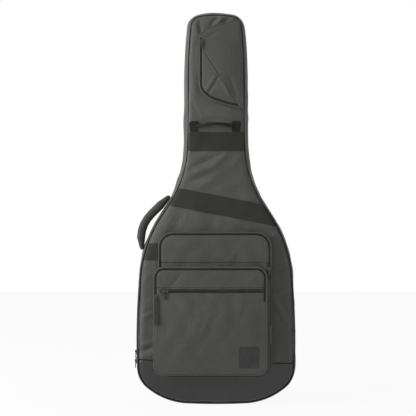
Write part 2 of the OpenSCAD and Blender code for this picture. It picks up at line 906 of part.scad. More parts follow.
module pocket_a_wall() {
    color("#3d3d3b")
        slab(-a_y, -panel_y)
            pocket_ring("a", 0, pocket_wall_t);
}
module pocket_a_zip() { color("#151515") pocket_zip("a", a_y); }
module pocket_a_panel() { color("#333331") pocket_panel("a", a_y); }
module pocket_a_flap() { color("#3a3a38") pocket_flap("a", a_y); }

// The small pocket overhangs the large one on the left, and is sewn to the bag there
module pocket_b_wall() {
    color("#393937")
        difference() {
            slab(-b_y, -panel_y)
                pocket_ring("b", 0, pocket_wall_t);
            slab(-a_y, -panel_y + 1)
                area(a_rim, 0);
        }
}
module pocket_b_zip() { color("#151515") pocket_zip("b", b_y); }

module zip_c_area(w) {
    translate([c_x0, c_z - w / 2])
        square([c_x1 - c_x0, w]);
}

module pocket_b_panel() {
    color("#2e2e2c")
        difference() {
            pocket_panel("b", b_y);
            slab(-b_y - 1, -b_y + pocket_skin_t + 1)
                zip_c_area(c_w);
        }
}
module pocket_b_flap() { color("#373735") pocket_flap("b", b_y); }

module pocket_c_zip() {
    color("#151515") {
        slab(-b_y + tape_y, -b_y + tape_y + tape_t)
            difference() {
                zip_c_area(c_w);
                zip_c_area(zip_gap);
            }
        slab(-b_y + teeth_y, -b_y + teeth_y + coil_t)
            difference() {
                zip_c_area(zip_gap + 2 * coil_w);
                zip_c_area(zip_gap);
            }
    }
}

module head_pocket_wall() {
    color("#424240")
        difference() {
            slab(-h_y, -wall_y - 1)
                pocket_ring("head", 0, pocket_wall_t);
            front()
                skin();
        }
}
module head_pocket_zip() { color("#151515") pocket_zip("head", h_y); }
module head_pocket_panel() { color("#474745") pocket_panel("head", h_y); }
module head_pocket_flap() { color("#4b4b49") pocket_flap("head", h_y); }

module badge_patch() {
    color("#2b2b2a")
        slab(-b_y - badge_t, -b_y)
            translate([b_x1 - badge_side_in - badge_w, b_z0 + badge_base_in])
                square([badge_w, badge_h]);
}

module side_tab() {
    color("#8c8c88")
        slab(-a_y - tab_t, -a_y)
            translate([a_x1 - tab_t - pocket_wall_t, a_z0 + tab_base_in])
                square([pocket_wall_t - 0.5, tab_l]);
}

// ---- Sliders and pullers: drawn running up Z, with the teeth's face at y = 0, front at -Y ----

plate_y = 0.9;
bridge_h = 3.8;
eye_y = plate_y + slider_t + 1.6;

module plate(w, y0, y1) {
    slab(-y1, -y0)
        polygon([[-w * 0.36, -slider_l / 2], [w * 0.36, -slider_l / 2], [w / 2, slider_l * 0.1],
            [w / 2, slider_l * 0.38], [w * 0.3, slider_l / 2], [-w * 0.3, slider_l / 2],
            [-w / 2, slider_l * 0.38], [-w / 2, slider_l * 0.1]]);
}

module slider(turn = 0) {
    plate(slider_w, plate_y, plate_y + slider_t);
    plate(pocket_zip_in - pocket_wall_t - 0.4 + 3, -coil_t - 1.6, -coil_t - 0.4);
    translate([-wedge_w / 2, -plate_y - 0.1, 1])
        cube([wedge_w, plate_y + coil_t + 0.7, slider_l / 2 - 3]);
    rotate([0, turn, 0])
        difference() {
            translate([-1.5, -plate_y - slider_t - bridge_h, -3.2])
                cube([3, bridge_h + 0.1, 6.4]);
            translate([0, -eye_y, 0])
                rotate([0, 90, 0])
                    cylinder(h = 8, d = eye_d, center = true);
        }
}

// A pin through the bridge, a fork beside it, and a tab that hangs below
module puller(w, l) {
    arm_t = 1.4;
    translate([0, -eye_y, 0]) {
        rotate([0, 90, 0])
            cylinder(h = 2 * arm_t + 3.6, d = pin_d, center = true);
        for (x = [-1.8 - arm_t, 1.8])
            translate([x, 0, 0])
                rotate([0, 90, 0])
                    linear_extrude(arm_t) {
                        circle(d = 2);
                        translate([0, -1])
                            square([fork_l, 2]);
                    }
        slab(-puller_t / 2, puller_t / 2)
            polygon([[-w / 2 + 1, -fork_l], [w / 2 - 1, -fork_l], [w / 2, -fork_l - 2],
                [w / 2, -fork_l - l + 2], [w / 2 - 1.5, -fork_l - l], [-w / 2 + 1.5, -fork_l - l],
                [-w / 2, -fork_l - l + 2], [-w / 2, -fork_l - 2]]);
    }
}

module long_puller() {
    puller(long_puller_w * 0.8, long_strap_l);
    translate([0, -eye_y, -fork_l - long_strap_l - long_tip_l + 5])
        slab(-1.9, 1.9)
            translate([-long_puller_w / 2, 0])
                square([long_puller_w, long_tip_l]);
}

// Places a slider on the left side of the bag, facing outwards
module at_side(z) {
    translate([-body_w / 2 + (z - hip_z) * tan(side_lean), 0, z])
        rotate([0, side_lean, 0])
            rotate([0, 0, -90])
                translate([0, coil_in, 0])
                    children();
}

module at_a() {
    translate([a_x1 - pocket_zip_in, -a_y + teeth_y, a_slider_z])
        children();
}

module at_b() {
    translate([b_x0 + pocket_zip_in, -b_y + teeth_y, b_slider_z])
        children();
}

module at_c() {
    translate([c_slider_x, -b_y + teeth_y, c_z])
        children();
}

module at_head() {
    translate([h_x0 + pocket_zip_in, -h_y + teeth_y, h_slider_z])
        children();
}

module main_slider_upper() { color("#2f2f2f") at_side(upper_slider_z) slider(); }
module main_puller_upper() { color("#232323") at_side(upper_slider_z) puller(7, main_puller_l); }
module main_slider_lower() { color("#2f2f2f") at_side(lower_slider_z) slider(); }
module main_puller_lower() { color("#232323") at_side(lower_slider_z) puller(7, main_puller_l); }
module slider_a() { color("#2f2f2f") at_a() slider(); }
module puller_a() { color("#232323") at_a() puller(7, 18); }
module slider_b() { color("#2f2f2f") at_b() slider(); }
module puller_b() { color("#232323") at_b() long_puller(); }
module slider_c() { color("#2f2f2f") at_c() rotate([0, 90, 0]) slider(-90); }
module puller_c() { color("#232323") at_c() puller(6, 16); }
module slider_head() { color("#2f2f2f") at_head() slider(); }
module puller_head() { color("#232323") at_head() puller(6, 12); }

back_panel();
back_boot();
back_padding();
back_lining();
back_gusset_lower();
back_gusset_upper();
back_piping();
main_zip_back();
hinge_web_back();
neck_cradle();
end_bumper();
strap_yoke();
strap_pad_left();
strap_pad_right();
strap_web_left();
strap_web_right();
strap_buckle_left();
strap_buckle_right();
front_panel();
front_boot();
front_padding();
front_lining();
front_gusset_lower();
front_gusset_upper();
front_piping();
main_zip_front();
hinge_web_front();
neck_band();
cross_band();
handle_band();
grab_tabs();
side_handle();
grab_handle();
pocket_a_wall();
pocket_a_zip();
pocket_a_panel();
pocket_a_flap();
pocket_b_wall();
pocket_b_zip();
pocket_b_panel();
pocket_b_flap();
pocket_c_zip();
head_pocket_wall();
head_pocket_zip();
head_pocket_panel();
head_pocket_flap();
badge_patch();
side_tab();
main_slider_upper();
main_puller_upper();
main_slider_lower();
main_puller_lower();
slider_a();
puller_a();
slider_b();
puller_b();
slider_c();
puller_c();
slider_head();
puller_head();
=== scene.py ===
import json
import math
import random

import bmesh
import bpy
import numpy as np
from bpy.props import FloatProperty, FloatVectorProperty, IntProperty, PointerProperty
from bpy.types import Operator, Panel, PropertyGroup
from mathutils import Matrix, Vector

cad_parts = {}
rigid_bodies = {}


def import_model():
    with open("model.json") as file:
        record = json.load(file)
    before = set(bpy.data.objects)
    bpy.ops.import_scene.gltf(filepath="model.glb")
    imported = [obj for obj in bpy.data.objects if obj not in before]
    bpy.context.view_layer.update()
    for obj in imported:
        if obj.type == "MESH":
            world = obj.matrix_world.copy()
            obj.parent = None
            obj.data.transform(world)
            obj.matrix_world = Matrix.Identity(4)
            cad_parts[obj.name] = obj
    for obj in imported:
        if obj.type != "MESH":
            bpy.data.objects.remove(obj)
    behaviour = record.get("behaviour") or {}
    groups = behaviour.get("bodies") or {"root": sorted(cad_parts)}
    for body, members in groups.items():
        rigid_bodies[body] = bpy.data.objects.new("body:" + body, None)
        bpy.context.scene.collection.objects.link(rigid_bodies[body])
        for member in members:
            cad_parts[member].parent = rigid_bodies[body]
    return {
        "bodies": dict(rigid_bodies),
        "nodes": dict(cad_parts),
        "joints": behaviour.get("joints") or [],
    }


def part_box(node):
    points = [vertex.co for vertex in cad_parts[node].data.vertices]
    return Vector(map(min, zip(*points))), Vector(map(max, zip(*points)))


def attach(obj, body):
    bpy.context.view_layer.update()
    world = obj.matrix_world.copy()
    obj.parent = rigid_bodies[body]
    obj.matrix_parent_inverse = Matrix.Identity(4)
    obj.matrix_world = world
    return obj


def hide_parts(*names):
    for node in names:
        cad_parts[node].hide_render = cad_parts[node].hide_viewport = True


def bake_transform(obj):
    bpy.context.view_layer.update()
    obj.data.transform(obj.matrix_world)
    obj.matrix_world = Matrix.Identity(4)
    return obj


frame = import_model()
NODES = frame["nodes"]
JOINTS = {joint["name"]: joint for joint in frame["joints"]}
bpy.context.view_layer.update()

bl_info = {
    "name": "Padded gig bag",
    "version": (1, 0, 0),
    "blender": (4, 5, 0),
    "location": "3D View > Sidebar > Gig bag",
    "description": "Sews the cloth, zippers and webbing of a gig bag round its frame",
    "category": "Object",
}

MM = 0.001
MERGE = 1e-5
CLOSED_END = 0.001
COIL_WAIST = 0.72
COIL_SIDES = 6
CORD_SIDES = 10
CORD_STEP = 5 * MM
TEETH_Y = 1.3 * MM
BAND_STANDOFF = 0.4 * MM
BOOT_STANDOFF = 0.6 * MM
SEAM_SHARE = 0.12
SEAM_SINK = 1.6 * MM
QUILT_SHARE = 0.16
FOAM_SINK = 0.6 * MM
ACROSS = np.array([0.0, 1.0, 0.0])


# ---- Sizes and colours ----


def length(name, default, description):
    """A size in metres."""
    return FloatProperty(name=name, description=description, default=default, min=0.0,
                         unit="LENGTH", precision=5)


def colour(name, default, description):
    """A linear colour."""
    return FloatVectorProperty(name=name, description=description, default=default, min=0.0,
                               max=1.0, size=3, subtype="COLOR")


class BagCloth(PropertyGroup):
    """How finely each kind of cloth is meshed, and how far it swells."""

    panel_mesh: length("Panel mesh", 0.003, "Mesh size of the padded panels and side walls")
    pocket_mesh: length("Pocket mesh", 0.0016, "Mesh size of the pockets' cloth")
    trim_mesh: length("Trim mesh", 0.0009, "Mesh size of bands and handles")
    lining_mesh: length("Lining mesh", 0.0035, "Mesh size of the quilted inside")
    body_crown: length("Body crown", 0.004, "Swell of the front and back panels' middle")
    pocket_crown: length("Pocket crown", 0.006, "Swell of a pocket's middle")
    wall_swell: length("Wall swell", 0.0012, "Unevenness of the side walls")
    quilt_pitch: length("Quilt pitch", 0.048, "Distance between the lining's quilting lines")
    quilt_depth: length("Quilt depth", 0.0022, "Depth of the quilting")
    strap_channel: length("Strap channel", 0.062, "Distance between a strap pad's sewn channels")


class BagTrim(PropertyGroup):
    """Sizes of the sewn trim."""

    coil_r: length("Coil radius", 0.00105, "Radius of one row of zipper teeth")
    coil_pitch: length("Coil pitch", 0.0021, "Distance from tooth to tooth")
    bevel_w: length("Hardware bevel", 0.00028, "Rounding of the sliders', pullers' and buckles' edges")


class BagColours(PropertyGroup):
    """Base colours."""

    shell: colour("Shell cloth", (0.062, 0.061, 0.056), "Woven nylon of the bag")
    boot: colour("Leatherette", (0.014, 0.014, 0.014), "Glossy base")
    webbing: colour("Webbing", (0.033, 0.034, 0.028), "Sewn bands")
    piping: colour("Piping", (0.010, 0.010, 0.010), "Cord along the seams")
    zipper: colour("Zipper", (0.009, 0.009, 0.009), "Teeth and tape")
    metal: colour("Slider metal", (0.030, 0.030, 0.030), "Enamelled sliders")
    rubber: colour("Puller rubber", (0.020, 0.020, 0.020), "Moulded pullers")
    sleeve: colour("Handle sleeve", (0.022, 0.022, 0.020), "Ribbed cover of the side handle")
    loop: colour("Grab loop", (0.008, 0.008, 0.008), "Rolled loop and its ends")
    lining: colour("Lining", (0.020, 0.020, 0.023), "Quilted inside")
    label: colour("Label", (0.018, 0.018, 0.018), "Bare badge patch")
    label_edge: colour("Label edge", (0.20, 0.20, 0.19), "Border of the patch and the side tab")
    buckle: colour("Buckle", (0.012, 0.012, 0.012), "Moulded buckles")


class BagStage(PropertyGroup):
    """Camera and lights."""

    lens: FloatProperty(name="Lens", description="Focal length in millimetres", default=85.0)
    distance: length("Camera distance", 2.667, "From the camera to the parting plane")
    camera_x: FloatProperty(name="Camera X", description="Place of the camera across", default=-0.0217,
                            unit="LENGTH")
    camera_z: FloatProperty(name="Camera Z", description="Height of the camera", default=0.5234,
                            unit="LENGTH")
    key: FloatProperty(name="Key power", description="Power of the large light on the left",
                       default=95.0, min=0.0)
    fill: FloatProperty(name="Fill power", description="Power of the light on the right",
                        default=3.0, min=0.0)
    top: FloatProperty(name="Top power", description="Power of the light above", default=5.0, min=0.0)
    room: FloatProperty(name="Room light", description="Strength of the light from all round",
                        default=0.22, min=0.0)
    floor_white: FloatProperty(name="Floor white", description="Share of plain white that the camera sees",
                               default=0.93, min=0.0, max=1.0)
    floor_w: length("Floor width", 7.0, "Width of the floor")


def sizes():
    """The property groups of the scene that is being dressed."""
    scene = bpy.context.scene
    return scene.bag_cloth, scene.bag_trim, scene.bag_colours, scene.bag_stage


# ---- Bench tools ----


def pick(*objects):
    """Selects these objects alone, with the first one active."""
    bpy.ops.object.select_all(action="DESELECT")
    for o in objects:
        o.select_set(True)
    bpy.context.view_layer.objects.active = objects[0]


def in_edit_mode(piece, *steps):
    """Runs mesh operators on the whole piece."""
    pick(piece)
    bpy.ops.object.mode_set(mode="EDIT")
    bpy.ops.mesh.select_all(action="SELECT")
    for step in steps:
        step()
    bpy.ops.object.mode_set(mode="OBJECT")


def merge_points():
    bpy.ops.mesh.remove_doubles(threshold=MERGE)


def turn_outwards():
    bpy.ops.mesh.normals_make_consistent(inside=False)


def bench_copy(name, *nodes):
    """A piece that starts from the frame's own solids, joined and merged."""
    parts = []
    for node in nodes:
        part = bpy.data.objects.new(name, NODES[node].data.copy())
        bpy.context.scene.collection.objects.link(part)
        parts.append(part)
    pick(*parts)
    if len(parts) > 1:
        bpy.ops.object.join()
    piece = bpy.context.view_layer.objects.active
    piece.name = name
    piece.data.materials.clear()
    in_edit_mode(piece, merge_points)
    return piece


def fill_out(piece, mesh_size, rounds=3):
    """Turns a piece into an even, soft-edged mesh."""
    pick(piece)
    piece.data.remesh_voxel_size = mesh_size
    bpy.ops.object.voxel_remesh()
    in_edit_mode(piece, lambda: bpy.ops.mesh.vertices_smooth(factor=0.5, repeat=rounds))
    return piece


def points_of(piece):
    mesh = piece.data
    points = np.empty(len(mesh.vertices) * 3, np.float32)
    mesh.vertices.foreach_get("co", points)
    return points.reshape(-1, 3).astype(float)


def normals_of(piece):
    mesh = piece.data
    normals = np.empty(len(mesh.vertices) * 3, np.float32)
    mesh.vertex_normals.foreach_get("vector", normals)
    return normals.reshape(-1, 3).astype(float)


def place(piece, points):
    points = np.asarray(points, float).copy()
    points[:, 2] = np.maximum(points[:, 2], 0.0)
    piece.data.vertices.foreach_set("co", np.asarray(points, np.float32).ravel())
    piece.data.update()
    return piece


def laid(name, rows, round_way=False, closed=False):
    """A grid whose rows lie on the given points: round_way joins each row to a ring."""
    rows = np.asarray(rows, float)
    if round_way:
        rows = np.concatenate([rows, rows[:, :1]], axis=1)
    if closed:
        rows = np.concatenate([rows, rows[:1]], axis=0)
    bpy.ops.object.select_all(action="DESELECT")
    bpy.ops.mesh.primitive_grid_add(x_subdivisions=rows.shape[1] - 1,
                                    y_subdivisions=rows.shape[0] - 1)
    piece = bpy.context.object
    piece.name = name
    place(piece, rows.reshape(-1, 3))
    in_edit_mode(piece, merge_points, turn_outwards)
    return piece


def dressed(piece, material, body=None, stands_for=(), smooth=True):
    """Gives a piece its finish, its body and the solids that it stands for."""
    piece.data.materials.clear()
    piece.data.materials.append(material)
    pick(piece)
    if smooth:
        bpy.ops.object.shade_smooth()
    if stands_for:
        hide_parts(*stands_for)
    if body:
        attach(piece, body)
    return piece


# ---- Paths ----


def rim_loops(node, y):
    """The closed outlines of a node's flat face at depth y, longest first."""
    bm = bmesh.new()
    bm.from_mesh(NODES[node].data)
    bmesh.ops.remove_doubles(bm, verts=bm.verts, dist=MERGE)
    bm.normal_update()
    nearby = {}
    for e in bm.edges:
        flat = all(abs(v.co.y - y) < MERGE for v in e.verts)
        faces = e.link_faces
        if flat and len(faces) == 2 and abs(faces[0].normal.dot(faces[1].normal)) < 0.8:
            a, b = e.verts
            nearby.setdefault(a.index, []).append(b.index)
            nearby.setdefault(b.index, []).append(a.index)
    bm.verts.ensure_lookup_table()
    loops = []
    while nearby:
        start = min(nearby)
        loop, last, now = [], None, start
        while now in nearby:
            loop.append(np.array(bm.verts[now].co))
            ways = [i for i in nearby.pop(now) if i != last and (i in nearby or i == start)]
            if not ways:
                break
            last, now = now, ways[0]
        loops.append(np.array(loop))
    bm.free()
    return sorted(loops, key=lambda loop: -path_length(loop, True))


def path_length(points, closed=False):
    ends = np.roll(points, -1, axis=0) if closed else points[1:]
    return float(np.linalg.norm(ends - points[:len(ends)], axis=1).sum())


def eased_path(points, step, closed=False):
    """The smooth line through some points, cut to even steps."""
    points = np.asarray(points, float)
    if closed:
        points = np.concatenate([points[-2:], points, points[:3]])
    along = np.concatenate([[0], np.cumsum(np.linalg.norm(np.diff(points, axis=0), axis=1))])
    slope = np.gradient(points, along, axis=0)
    first, last = (along[2], along[-3]) if closed else (along[0], along[-1])
    count = max(2, round((last - first) / step))
    s = np.linspace(first, last, count + 1)
    i = np.clip(np.searchsorted(along, s, side="right") - 1, 0, len(along) - 2)
    h = (along[i + 1] - along[i])[:, None]
    t = ((s - along[i])[:, None]) / h
    line = ((2 * t**3 - 3 * t**2 + 1) * points[i] + (t**3 - 2 * t**2 + t) * h * slope[i]
            + (3 * t**2 - 2 * t**3) * points[i + 1] + (t**3 - t**2) * h * slope[i + 1])
    return line[:-1] if closed else line


def headings(path, closed=False):
    if closed:
        run = np.roll(path, -1, axis=0) - np.roll(path, 1, axis=0)
    else:
        run = np.gradient(path, axis=0)
    return run / np.linalg.norm(run, axis=1, keepdims=True)


def moved_in(loop, distance):
    """A closed outline in X and Z, moved towards its inside."""
    run = headings(loop, True)
    turn = np.stack([run[:, 2], np.zeros(len(run)), -run[:, 0]], axis=1)
    x, z = loop[:, 0], loop[:, 2]
    area = (x * np.roll(z, -1) - np.roll(x, -1) * z).sum()
    return loop - turn * distance * (1 if area > 0 else -1)


def swept(name, path, section, closed=False, swell=None, tapered=False):
    """A tube along a path: section holds (sideways, outwards) points, swell their size on the way."""
    path = np.asarray(path, float)
    t = headings(path, closed)
    side = np.cross(t, ACROSS)
    side /= np.linalg.norm(side, axis=1, keepdims=True)
    up = np.cross(side, t)
    size = np.ones(len(path)) if swell is None else np.asarray(swell, float)
    if tapered:
        size = size.copy()
        size[0] = size[-1] = CLOSED_END
    section = np.array(section)
    outline = side[:, None] * section[None, :, :1] + up[:, None] * section[None, :, 1:]
    rings = path[:, None] + outline * size[:, None, None]
    return laid(name, rings, round_way=True, closed=closed)


def round_section(radius, sides):
    """The (sideways, outwards) points of a circle."""
    turns = [2 * math.pi * i / sides for i in range(sides)]
    return [(radius * math.cos(turn), radius * math.sin(turn)) for turn in turns]


def coil(name, path):
    """One row of zipper teeth: a ribbed cord."""
    trim = sizes()[1]
    line = eased_path(path, trim.coil_pitch / 2)
    ribs = np.where(np.arange(len(line)) % 2 == 0, 1.0, COIL_WAIST)
    return swept(name, line, round_section(trim.coil_r, COIL_SIDES), swell=ribs, tapered=True)


# ---- How the cloth lies ----


def rolling(points, size, seed, waves=9):
    """Smooth uneven swell, mostly from -1 to 1, in waves of about the given size."""
    draw = random.Random(seed)
    total = np.zeros(len(points))
    for _ in range(waves):
        way = np.array([draw.gauss(0, 1), draw.gauss(0, 0.4), draw.gauss(0, 1)])
        reach = size * draw.uniform(0.7, 1.7)
        total += np.sin(points @ (way / np.linalg.norm(way)) * math.tau / reach + draw.uniform(0, 7))
    return total / math.sqrt(waves)


def folds(points, creases):
    """Height of some creases in millimetres: (x, z), (x, z), width, height."""
    flat = points[:, [0, 2]] / MM
    total = np.zeros(len(points))
    for start, end, width, height in creases:
        a, run = np.array(start, float), np.array(end, float) - np.array(start, float)
        t = np.clip(((flat - a) @ run) / (run @ run), 0, 1)
        gap = np.linalg.norm(flat - a - t[:, None] * run, axis=1)
        total += height * np.exp(-(gap / width) ** 2) * (0.55 + 0.45 * np.sin(math.pi * t))
    return total * MM


NECK_FOLDS = [
    ((-71, 610), (-5, 637), 8, 2.6), ((-5, 637), (27, 665), 7, 2.4),
    ((-68, 628), (14, 668), 6, -2.4), ((-68, 646), (-22, 672), 8, 1.6),
    ((-74, 590), (-3, 620), 8, -2.0), ((-60, 574), (-5, 600), 9, 1.8),
    ((20, 600), (60, 640), 12, -1.6), ((5, 570), (60, 588), 12, 1.3),
    ((-20, 586), (30, 606), 8, 1.0), ((40, 620), (62, 662), 9, 1.2),
]
SHOULDER_FOLDS = [
    ((33, 497), (88, 464), 6, 2.2), ((25, 490), (80, 455), 7, -1.5), ((128, 474), (160, 470), 6, 1.8),
    ((150, 450), (168, 459), 5, 1.7), ((-60, 520), (-30, 470), 14, 1.2), ((0, 505), (-12, 470), 10, -1.2),
    ((-120, 500), (-150, 440), 14, 1.6), ((-95, 500), (-110, 470), 10, -1.0),
]
SIDE_FOLDS = [
    ((152, 364), (187, 373), 5, 1.8), ((150, 352), (185, 358), 6, -1.4), ((152, 299), (195, 305), 5, 1.8),
    ((150, 286), (191, 212), 6, 2.2), ((160, 290), (200, 226), 7, -1.6), ((155, 200), (190, 178), 7, 1.3),
    ((-201, 142), (-167, 151), 5.5, -3.2), ((-203, 157), (-168, 165), 7, 2.2),
    ((-204, 241), (-168, 252), 6, -1.4),
    ((-205, 232), (-170, 240), 7, 1.4), ((-200, 330), (-172, 344), 8, 1.2),
    ((-203, 126), (-170, 133), 5, 1.8),
]
HEAD_FOLDS = [
    ((-45, 1026), (-41, 990), 5, -2.2), ((-54, 1010), (-50, 975), 6, 1.6), ((-19, 1004), (5, 1034), 5, -2.2),
    ((-6, 1003), (20, 1034), 5, 2.3), ((12, 1008), (40, 1036), 5, -2.0), ((30, 1012), (56, 1036), 5, 2.0),
    ((-60, 880), (-55, 800), 7, 1.2), ((-62, 800), (-48, 770), 6, -1.0), ((-20, 780), (40, 766), 9, 1.2),
    ((-30, 760), (30, 752), 6, -1.2),
]
FRONT_FOLDS = NECK_FOLDS + SHOULDER_FOLDS + SIDE_FOLDS + HEAD_FOLDS
BACK_FOLDS = [
    ((-60, 640), (50, 668), 9, 1.6), ((-55, 700), (45, 720), 10, -1.4), ((-120, 500), (-60, 480), 12, 1.6),
    ((60, 520), (130, 470), 12, 1.8), ((-190, 230), (-120, 260), 12, 1.6), ((100, 150), (185, 180), 12, 1.6),
    ((-60, 900), (40, 930), 9, 1.4), ((-50, 980), (50, 1005), 7, -1.4), ((-160, 330), (-90, 350), 12, -1.4),
]

SEAM_Y = -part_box("front_panel")[1][1]
PANEL_Y = -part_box("front_panel")[0].y


def lift_share(points):
    """0 at the seams and behind the panel, 1 on its flat middle."""
    return np.clip((np.abs(points[:, 1]) - SEAM_Y) / (PANEL_Y - SEAM_Y), 0, 1)


def half_width(z):
    """Half the bag's width at a height."""
    right = RIM[RIM[:, 0] > 0]
    order = np.argsort(right[:, 2])
    return np.interp(z, right[order, 2], right[order, 0])


def panel_lift(points, creases, seed):
    """How far the padded panel stands out of its plain solid."""
    cloth = sizes()[0]
    across = points[:, 0] / half_width(points[:, 2])
    crown = cloth.body_crown * (1 - across**2)
    share = lift_share(points)
    pucker = 4 * share * (1 - share) * rolling(points, 0.02, seed + 1) * 0.4 * MM
    swell = rolling(points, 0.11, seed) * 0.9 * MM + rolling(points, 0.045, seed + 2) * 0.35 * MM
    return share * (crown + swell + folds(points, creases)) + pucker


def lifted(piece, creases, seed, extra=0.0):
    """Moves a piece that lies on a panel out with it."""
    points = points_of(piece)
    front = np.where(points[:, 1] < 0, -1.0, 1.0)
    lift = panel_lift(points, creases, seed) + extra * lift_share(points)
    points[:, 1] += front * lift
    return place(piece, points)


def bag_outline():
    """The bag's outline, from the zipper's teeth, which lie one millimetre inside it."""
    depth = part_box("main_zip_front")[1].y
    loop = rim_loops("main_zip_front", depth)[0]
    ends = np.roll(loop, -1, axis=0)
    cut = (np.abs(ends[:, 2] - loop[:, 2]) < MERGE) & (np.minimum(loop[:, 0], ends[:, 0]) > 0.15)
    first, second = np.flatnonzero(cut)[:2]
    runs = [loop[first + 1:second + 1], np.concatenate([loop[second + 1:], loop[:first + 1]])]
    return max(runs, key=path_length)


ZIP_RUN = bag_outline()
RIM = eased_path(moved_in(ZIP_RUN, -1 * MM), 4 * MM, closed=True)


# ---- Materials ----


class Recipe:
    """A material's nodes, added and linked in short calls."""

    def __init__(self, name):
        self.material = bpy.data.materials.new(name)
        self.material.use_nodes = True
        self.tree = self.material.node_tree
        self.surface = self.tree.nodes["Principled BSDF"]
        self.place = self.add("ShaderNodeTexCoord").outputs["Object"]

    def add(self, kind, **settings):
        node = self.tree.nodes.new(kind)
        for key, value in settings.items():
            setattr(node, key, value)
        return node

    def put(self, value, socket):
        if isinstance(value, bpy.types.NodeSocket):
            self.tree.links.new(value, socket)
        else:
            socket.default_value = value

    def math(self, operation, a, b=0.0):
        node = self.add("ShaderNodeMath", operation=operation)
        self.put(a, node.inputs[0])
        self.put(b, node.inputs[1])
        return node.outputs[0]

    def noise(self, scale, detail=2.0, rough=0.5, at=None):
        node = self.add("ShaderNodeTexNoise")
        self.put(at or self.place, node.inputs["Vector"])
        self.put(scale, node.inputs["Scale"])
        self.put(detail, node.inputs["Detail"])
        self.put(rough, node.inputs["Roughness"])
        return node.outputs["Fac"]

    def ramp(self, value, low, high, start=0.0, end=1.0):
        node = self.add("ShaderNodeMapRange")
        self.put(value, node.inputs["Value"])
        for socket, number in (("From Min", start), ("From Max", end), ("To Min", low), ("To Max", high)):
            self.put(number, node.inputs[socket])
        return node.outputs["Result"]

    def turned(self, angle):
        node = self.add("ShaderNodeMapping")
        self.put(self.place, node.inputs["Vector"])
        node.inputs["Rotation"].default_value = (0.0, angle, 0.0)
        return node.outputs["Vector"]

    def ribs(self, axis, pitch, at=None):
        """A sine that repeats along one axis."""
        parts = self.add("ShaderNodeSeparateXYZ")
        self.put(at or self.place, parts.inputs[0])
        return self.math("SINE", self.math("MULTIPLY", parts.outputs[axis], math.tau / pitch))

    def weave(self, pitch, at=None):
        """Yarns crossing along all three axes, which reads as plain weave on any face."""
        over = self.math("ADD", self.ribs("X", pitch, at), self.ribs("Z", pitch, at))
        return self.math("ADD", over, self.ribs("Y", pitch, at))

    def tint(self, colour, light):
        """The base colour, made lighter or darker by a factor."""
        node = self.add("ShaderNodeVectorMath", operation="SCALE")
        node.inputs[0].default_value = colour
        self.put(light, node.inputs["Scale"])
        self.put(node.outputs[0], self.surface.inputs["Base Color"])

    def bump(self, height, distance, strength=1.0, under=None):
        node = self.add("ShaderNodeBump")
        self.put(height, node.inputs["Height"])
        node.inputs["Distance"].default_value = distance
        node.inputs["Strength"].default_value = strength
        if under is not None:
            self.put(under, node.inputs["Normal"])
        self.put(node.outputs[0], self.surface.inputs["Normal"])
        return node.outputs[0]

    def finish(self, rough, specular=0.5, metal=0.0, sheen=0.0, coat=0.0):
        self.put(rough, self.surface.inputs["Roughness"])
        self.surface.inputs["Specular IOR Level"].default_value = specular
        self.surface.inputs["Metallic"].default_value = metal
        self.surface.inputs["Sheen Weight"].default_value = sheen
        self.surface.inputs["Sheen Roughness"].default_value = 0.4
        self.surface.inputs["Coat Weight"].default_value = coat
        self.surface.inputs["Coat Roughness"].default_value = 0.25
        return self.material


def nylon(name, colour, pitch=0.0011, rough=0.5, sheen=0.1):
    """Close-woven nylon with a soft sheen, its sharp convex edges and ridges made paler by a painted
    highlight.
    """
    r = Recipe(name)
    patches = r.noise(7.0, 3.0)
    yarn = r.weave(pitch)
    edges = r.add("ShaderNodeNewGeometry").outputs["Pointiness"]
    # Painted highlight: sharp convex edges and ridges are made up to 35 percent paler, as if lit.
    painted_edge_highlight = r.ramp(edges, 0.0, 0.35, 0.51, 0.6)
    light = r.math("ADD", r.ramp(patches, 0.86, 1.14, 0.3, 0.7), r.ramp(yarn, -0.06, 0.06, -3.0, 3.0))
    r.tint(colour, r.math("ADD", light, painted_edge_highlight))
    wrinkle = r.bump(r.noise(60.0, 4.0, 0.6), 0.0012, 0.6)
    r.bump(yarn, 0.00010, 0.7, wrinkle)
    return r.finish(r.ramp(r.noise(40.0), rough - 0.06, rough + 0.1), 0.5, sheen=sheen)


def ribbed_web(name, colour, angle=0.0, rib="Z", pitch=0.0021):
    """Heavy webbing: ribs along its length, crossed by fine herringbone."""
    r = Recipe(name)
    at = r.turned(angle)
    rows = r.ribs(rib, pitch, at)
    cross = r.ribs("X" if rib == "Z" else "Z", pitch * 0.8, at)
    twill = r.math("MULTIPLY", rows, cross)
    patches = r.ramp(r.noise(12.0, 3.0), 0.88, 1.12, 0.3, 0.7)
    light = r.math("ADD", patches, r.ramp(rows, -0.1, 0.1, -1.0, 1.0))
    r.tint(colour, light)
    r.bump(twill, 0.00012, 0.6, r.bump(rows, 0.0003, 0.8))
    return r.finish(0.72, 0.3, sheen=0.15)


def leatherette(name, colour):
    """Smooth coated cloth with a fine pebble grain and a half-gloss finish."""
    r = Recipe(name)
    grain = r.add("ShaderNodeTexVoronoi", feature="SMOOTH_F1")
    r.put(r.place, grain.inputs["Vector"])
    grain.inputs["Scale"].default_value = 900.0
    r.tint(colour, r.ramp(r.noise(9.0, 3.0), 0.8, 1.3, 0.3, 0.7))
    soft = r.bump(r.noise(28.0, 2.0), 0.0012, 0.5)
    r.bump(grain.outputs["Distance"], 0.00008, 0.6, soft)
    return r.finish(r.ramp(r.noise(18.0, 3.0), 0.27, 0.38), 0.55)


def moulded(name, colour, rough=0.45, grain=0.00005, specular=0.5, metal=0.0, coat=0.0):
    """Moulded plastic, rubber, vinyl or enamel with a faint surface and uneven gloss."""
    r = Recipe(name)
    r.tint(colour, r.ramp(r.noise(90.0, 3.0), 0.85, 1.15, 0.3, 0.7))
    r.bump(r.noise(1500.0, 2.0), grain, 0.5)
    return r.finish(r.ramp(r.noise(160.0, 3.0), rough - 0.06, rough + 0.08), specular, metal, coat=coat)


